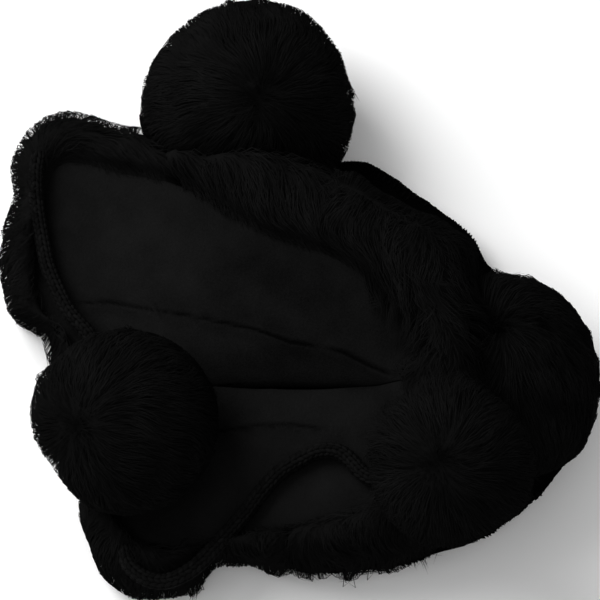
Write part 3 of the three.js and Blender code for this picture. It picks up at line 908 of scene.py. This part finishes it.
def whorl_of(middle, radius, spot):
    """Where on a pompom the whorl lies that shows at a pixel of the picture."""
    seen = in_picture(middle[None])[0]
    over = ((spot[0] - seen[0]) * PICTURE_RIGHT - (spot[1] - seen[1]) * PICTURE_UP) * PIXEL / radius
    return middle + radius * (over + TOWARDS_CAMERA * math.sqrt(max(1 - float(over @ over), 0.02)))


def combed_from_whorl(middle, whorl, twist):
    """Hair that runs away from one whorl of a pompom, with some twist."""

    def comb(roots, normals):
        away = across(unit(roots - middle) - unit(whorl - middle)[None], normals)
        return across(away + twist * np.cross(away, normals), normals)

    return comb


def wander(points, rng, size, strength):
    """A slow, smooth change from place to place, in three directions."""
    waves = rng.normal(size=(6, 3)) / size
    starts = rng.uniform(0, 2 * math.pi, 6)
    pushes = rng.normal(size=(6, 3)) * strength / math.sqrt(3)
    return np.sin(points @ waves.T + starts) @ pushes


def nearest(tree, points):
    """The closest spots of a surface, with the surface's direction there."""
    found = [tree.find_nearest(Vector(point))[:2] for point in points]
    return np.array([f[0] for f in found]), np.array([f[1] for f in found])


def laid_on(tree, points, most):
    """Lays points of hair no higher over the hide than that. Gives the hide's directions too."""
    spots, facing = nearest(tree, points)
    off = points - spots
    height = (off * facing).sum(1)
    return points - facing * (height - np.clip(height, HAIR_LOWEST, most))[:, None], facing


def across(ways, normals):
    """Directions laid flat on the surface."""
    return unit(ways - normals * (ways * normals).sum(1, keepdims=True))


def clear_of_cloth(points, tree, gap):
    """Moves hair out of the cloth that it lies on."""
    moved = points.copy()
    for i, point in enumerate(points):
        spot, normal, _, distance = tree.find_nearest(Vector(point), LINING_NEAR)
        if spot is None:
            continue
        height = (Vector(point) - spot).dot(normal)
        if height < gap:
            moved[i] = np.array(spot + normal * gap)
    return moved


def stopped_at_edge(roots, middle, tip, tree, neat):
    """Shortens the neat hairs that would reach past the lining's edge, which the fleece is bound over."""
    up = Vector((0, 0, 1))
    share = np.ones(len(roots))
    for i in np.flatnonzero(neat):
        for stop in (1.0, 0.75, 0.5, 0.25):
            place = Vector(roots[i] + (tip[i] - roots[i]) * stop)
            hit = tree.ray_cast(place + up * LINING_NEAR, -up, 2 * LINING_NEAR)[0]
            share[i] = stop
            if hit is None:
                break
    share = share[:, None]
    return roots + (middle - roots) * share, roots + (tip - roots) * share


def off_the_floor(starts, ends):
    """Shortens hair where it would run into the floor."""
    fall = np.maximum(starts[:, 2] - ends[:, 2], 1e-9)
    share = np.clip((starts[:, 2] - FLOOR_CLEAR) / fall, 0, 1)
    ends = starts + (ends - starts) * np.where(ends[:, 2] < FLOOR_CLEAR, share, 1)[:, None]
    ends[:, 2] = np.maximum(ends[:, 2], FLOOR_CLEAR)
    return ends


def clear_of_cords(points):
    """Moves hair out of the ties that lie on it."""
    for _, line in CORDS.values():
        low = line.min(0) - CORD_DIAMETER
        high = line.max(0) + CORD_DIAMETER
        near = np.flatnonzero(((points > low) & (points < high)).all(1))
        if not len(near):
            continue
        gap = points[near][:, None, :] - line[None, ::3]
        distance = np.linalg.norm(gap, axis=2)
        closest = distance.argmin(1)
        least = distance[np.arange(len(near)), closest]
        out = unit(gap[np.arange(len(near)), closest])
        push = np.maximum(CORD_DIAMETER / 2 + HAIR_OFF_CORD - least, 0)
        points[near] += out * push[:, None]
    return points


def anywhere(roots, _):
    return np.ones(len(roots), bool)


def clear_of_trim(roots, _):
    """The part of the upper ear pompom that the trim doesn't lie over."""
    seen = in_picture(roots)
    return seen[:, 1] < TRIM_EDGE[0] + TRIM_EDGE[1] * seen[:, 0]


def clear_of_lining(roots, normals):
    """The part of a trim that the lining doesn't lie over, without the edge turned to the upper pompom."""
    tree = tree_of(points_of(LINING), LINING)
    up = Vector((0, 0, 1))
    bare = np.array([tree.ray_cast(Vector(root), up, LINING_NEAR)[0] is None for root in roots])
    seen = in_picture(roots)
    left, right, lowest = EDGE_BY_POMPOM
    by_pompom = (seen[:, 1] < lowest) & (seen[:, 0] > left) & (seen[:, 0] < right)
    return bare & ~(by_pompom & (normals @ TOWARDS_CAMERA < EDGE_FACING))


def fur(name, node, comb, count, length, depth, pile, rng, clump=0.1, whorl=None, loose=(), within=anywhere):
    """Long fur on its hide, which lies depth inside the frame's solid. The coat stands pile high on it.
    Both and the hair's length are in millimetres. clump is how far tips gather into tufts. whorl is the
    heart and the place that it parts from. loose gives the pixels round which tufts stand off the coat,
    and within picks the roots that grow hair."""
    skin = fur_skin(node, depth * MM, whorl)
    skin_tree = tree_of(points_of(skin), skin)
    roots, normals = scattered(skin, int(count * 1.9), rng)
    free = free_of_neighbours(roots, normals, node, (max(depth, 0) + 1.5) * MM) & within(roots, normals)
    roots = roots[free][:count]
    normals = normals[free][:count]
    hairs = len(roots)
    ways = across(comb(roots, normals) + wander(roots, rng, 9 * MM, 0.2), normals)
    centres = rng.choice(hairs, max(hairs // TUFT_HAIRS, 1), replace=False)
    finder = KDTree(len(centres))
    for i, c in enumerate(centres):
        finder.insert(Vector(roots[c]), i)
    finder.balance()
    owner = np.array([finder.find(Vector(root))[1] for root in roots])
    seen = in_picture(roots)
    freedom = np.ones(hairs)
    for x, y, size in loose:
        freedom += LOOSENESS * np.exp(-((seen[:, 0] - x) ** 2 + (seen[:, 1] - y) ** 2) / (2 * size**2))
    freedom = np.minimum(freedom, LOOSEST)
    tuft_turn = (rng.normal(0, 0.1, len(centres))[owner] + rng.normal(0, 0.05, hairs)) * freedom
    side = np.cross(normals, ways)
    ways = unit(ways * np.cos(tuft_turn)[:, None] + side * np.sin(tuft_turn)[:, None])
    tuft_rise = rng.normal(0, 3, len(centres))[owner] + rng.normal(0, 3, hairs)
    upright = (1 - 0.75 * near_whorl(roots, whorl, WHORL_WIDTH)) * (1.1 - 0.1 * freedom)
    low, high = (np.radians(angle + tuft_rise) * upright for angle in HAIR_LEAN)
    longer = 1 + rng.normal(0, 0.1, len(centres))[owner] + rng.normal(0, 0.1, hairs)
    reach = length * MM * np.clip(longer, 0.5, 1.3)
    coat = pile * MM * rng.uniform(0.78, 1.04, hairs) * freedom
    first = normals * np.cos(low)[:, None] + ways * np.sin(low)[:, None]
    middle, middle_facing = laid_on(skin_tree, roots + first * (reach * HAIR_REACH[0])[:, None], coat)
    onward = across(ways, middle_facing)
    second = middle_facing * np.cos(high)[:, None] + onward * np.sin(high)[:, None]
    tip, tip_facing = laid_on(skin_tree, middle + second * (reach * HAIR_REACH[1])[:, None], coat)
    leader = centres[owner]
    gather = np.clip(rng.normal(clump, 0.1, hairs) + 0.1 * (freedom - 1), 0, 0.9)[:, None]
    tip = tip + (tip[leader] - tip) * gather
    middle = middle + (middle[leader] - middle) * gather * 0.3
    lining_tree = tree_of(points_of(LINING), LINING)
    if node.endswith("fur"):
        middle, tip = stopped_at_edge(roots, middle, tip, lining_tree, freedom < NEAT)
    parts = [roots]
    for part in (middle, tip):
        part = clear_of_cloth(part, lining_tree, HAIR_OFF_CLOTH)
        part = clear_of_cords(part)
        parts.append(off_the_floor(parts[-1], part))
    line = np.stack([roots - normals * ROOT_DEPTH, *parts[1:]], axis=1)
    radii = HAIR_RADIUS * HAIR_TAPER[None, :] * rng.uniform(0.75, 1.2, hairs)[:, None]
    shade = rng.normal(0, 0.05, len(centres))[owner] + rng.normal(0, 0.03, hairs)
    shade += wander(roots, rng, 5 * MM, 0.1)[:, 0]
    # Painted shade: hair darker round the whorl, where the coat parts
    shade -= 0.5 * near_whorl(roots, whorl, 1.5 * WHORL_WIDTH)
    # Darker towards each root: painted shade in the coat
    tones = np.clip(HAIR_TONES_ROOT_SHADED[None, :] + shade[:, None], 0, 1)
    roll = unit(normals + 0.8 * unit(rng.normal(size=(hairs, 3))))
    hair = strands(name, line, radii, roll, 3, tones)
    # The hide darker round the whorl: painted shade
    paint_tones(skin, HIDE_TONE * (1 - near_whorl(points_of(skin), whorl, 1.5 * WHORL_WIDTH)))
    piece = joined(name, [hair, skin])
    smooth_faces(piece)
    lit_as_coat(piece, normals, middle_facing, tip_facing)
    finish_piece(piece, FUR_BLACK, "fur", node)
    return piece


def lit_as_coat(piece, *facings):
    """Turns the shading of the hairs mostly to the way that the coat faces at each of their points."""
    rings = [np.repeat(facing[:, None, :], 3, axis=1) for facing in facings[:-1]]
    coat = np.concatenate([*rings, facings[-1][:, None, :]], axis=1).reshape(-1, 3)
    own = normals_of(piece)
    own[: len(coat)] = unit(COAT_SHARE * coat + (1 - COAT_SHARE) * own[: len(coat)])
    piece.data.normals_split_custom_set_from_vertices(own)


# The way that the trim's hair runs: a pixel of the picture, and the way there, right and down
BROW_GUIDES = [
    (115, 142, 0.3, 0.95), (150, 160, 0.5, 0.85), (190, 190, 0.6, 0.8), (180, 155, 0.35, 0.93),
    (212, 170, 0.45, 0.9), (232, 212, 0.75, 0.66), (240, 158, 0.45, 0.9), (255, 180, 0.5, 0.85),
    (265, 155, 0.35, 0.93), (275, 200, 0.6, 0.8), (270, 228, 0.8, 0.6), (290, 170, 0.1, 1.0),
    (300, 195, 0.05, 1.0), (300, 232, 0.7, 0.6), (322, 200, -0.35, 0.95), (350, 210, -0.55, 0.85),
    (330, 180, -0.45, 0.9), (330, 245, 0.6, 0.5), (380, 220, -0.55, 0.85), (360, 252, 0.5, 0.6),
    (405, 235, -0.4, 0.9),
    (376, 256, 0.5, 0.85), (392, 264, 0.6, 0.8), (430, 245, -0.15, 1.0), (455, 258, -0.3, 0.95),
    (388, 286, -0.8, 0.6), (402, 306, -0.45, 0.9), (425, 335, -0.3, 0.95), (420, 290, 0.8, 0.4),
    (446, 342, -0.3, 0.95), (452, 285, -0.1, 1.0), (480, 345, 0.8, 0.55), (475, 375, -0.15, 1.0),
    (470, 310, 0.9, 0.0), (450, 390, -0.1, 1.0), (400, 385, -0.7, 0.6), (385, 415, -0.8, 0.6),
    (385, 480, -0.5, 0.85), (400, 520, 0.2, 1.0), (430, 540, 0.5, 0.85), (480, 500, 0.6, 0.8),
]
UPPER_FLAP_GUIDES = [
    (60, 140, 0.8, -0.6), (80, 130, 1.0, 0.0), (97, 135, 0.5, 0.85), (88, 150, 0.6, 0.4),
    (130, 140, 0.5, 0.85), (160, 160, 0.6, 0.8), (175, 172, 0.8, 0.6),
    (42, 140, -0.2, -1.0), (22, 165, -0.8, -0.3), (16, 200, -0.95, 0.1), (12, 245, -0.95, 0.3),
    (16, 275, -0.9, 0.4), (22, 305, -0.8, 0.6), (42, 335, -0.5, 0.85),
]
LOWER_FLAP_GUIDES = [
    (82, 490, -0.3, 0.9), (95, 520, -0.7, 0.7), (110, 560, -0.6, 0.8), (125, 575, -0.4, 0.9),
    (150, 590, 0.0, 1.0), (170, 560, 0.8, 0.5), (195, 575, 0.4, 0.9), (225, 552, 0.2, 1.0),
    (245, 550, -0.2, 1.0), (275, 548, -0.4, 0.9), (300, 545, -0.35, 0.93), (345, 545, 0.05, 1.0),
    (380, 545, 0.35, 0.93),
]

# Each pompom's middle, radius and how deep its hide lies, in millimetres, and the pixel of its whorl
POMPOMS = {
    "ear_pompom_left": {
        "middle": (-32.2, 118.3, 52), "radius": 62, "depth": -3.6, "whorl": (263, 100), "twist": 0.0,
        "hairs": 14500, "loose": [(262, 118, 12)], "within": clear_of_trim,
    },
    "ear_pompom_right": {
        "middle": (114.1, -51.7, 52), "radius": 62, "depth": -0.5, "whorl": (490, 312), "twist": 0.35,
        "hairs": 12500, "loose": [(476, 322, 16)], "within": anywhere,
    },
    "tie_pompom_left": {
        "middle": (-101.2, -89.8, 85), "radius": 53, "depth": -1.0, "whorl": (73, 428), "twist": 0.1,
        "hairs": 11000, "loose": [], "within": anywhere,
    },
    "tie_pompom_right": {
        "middle": (84.7, -128.2, 120), "radius": 46, "depth": -0.5, "whorl": (435, 460), "twist": 0.0,
        "hairs": 8500, "loose": [(440, 392, 20), (385, 425, 20)], "within": anywhere,
    },
}

POMPOM_LENGTH = 23
POMPOM_PILE = 5

HAIR_SHARE = 1.0
for pompom_node, row in POMPOMS.items():
    heart = np.array(row["middle"]) * MM + DRAWING_SHIFT
    parting = whorl_of(heart, row["radius"] * MM, row["whorl"])
    fur(
        "long_" + pompom_node, pompom_node, combed_from_whorl(heart, parting, row["twist"]),
        int(row["hairs"] * HAIR_SHARE), POMPOM_LENGTH, row["depth"], POMPOM_PILE, RNG,
        whorl=(heart, parting), loose=row["loose"], within=row["within"],
    )

# Each trim's guides, hairs, their length, how deep its hide lies, how high its coat stands, and where its
# tufts stand loose
TRIM_CLUMP = 0.16
BROW_LOOSE = [(405, 300, 26), (440, 335, 24), (382, 392, 24), (462, 300, 18)]
TRIMS = [
    ("brow_fur", BROW_GUIDES, 15500, 22, -2.5, 5, BROW_LOOSE),
    ("upper_flap_fur", UPPER_FLAP_GUIDES, 6200, 20, -3, 4.5, []),
    ("lower_flap_fur", LOWER_FLAP_GUIDES, 6200, 20, -2.5, 4.5, []),
]
for trim_node, guides, hairs, length, depth, pile, standing in TRIMS:
    fur(
        "long_" + trim_node, trim_node, combed_by_guides(guides), int(hairs * HAIR_SHARE), length, depth,
        pile, RNG, clump=TRIM_CLUMP, loose=standing, within=clear_of_lining,
    )

# Floor and light


def pale_floor():
    bpy.ops.mesh.primitive_plane_add(size=8, location=(0, 0, 0))
    floor = bpy.context.object
    floor.name = "floor"
    look = bpy.data.materials.new("pale_floor")
    look.use_nodes = True
    shader = look.node_tree.nodes["Principled BSDF"]
    shader.inputs["Base Color"].default_value = (0.96, 0.96, 0.96, 1)
    shader.inputs["Roughness"].default_value = 0.9
    shader.inputs["Specular IOR Level"].default_value = 0.1
    floor.data.materials.append(look)


def soft_light(name, place, power, size):
    bpy.ops.object.light_add(type="AREA", location=place)
    light = bpy.context.object
    light.name = name
    light.data.energy = power
    light.data.size = size
    light.rotation_euler = (Vector(AIM) - Vector(place)).to_track_quat("-Z", "Y").to_euler()


def studio():
    pale_floor()
    soft_light("window", (-1.6, 0.9, 2.0), 82, 1.9)
    soft_light("fill", (-0.5, -1.0, 2.6), 12, 2.0)
    world = bpy.data.worlds.new("studio")
    world.use_nodes = True
    world.node_tree.nodes["Background"].inputs["Color"].default_value = (1, 1, 1, 1)
    world.node_tree.nodes["Background"].inputs["Strength"].default_value = 0.46
    bpy.context.scene.world = world
    bpy.context.scene.view_settings.view_transform = "Standard"


studio()
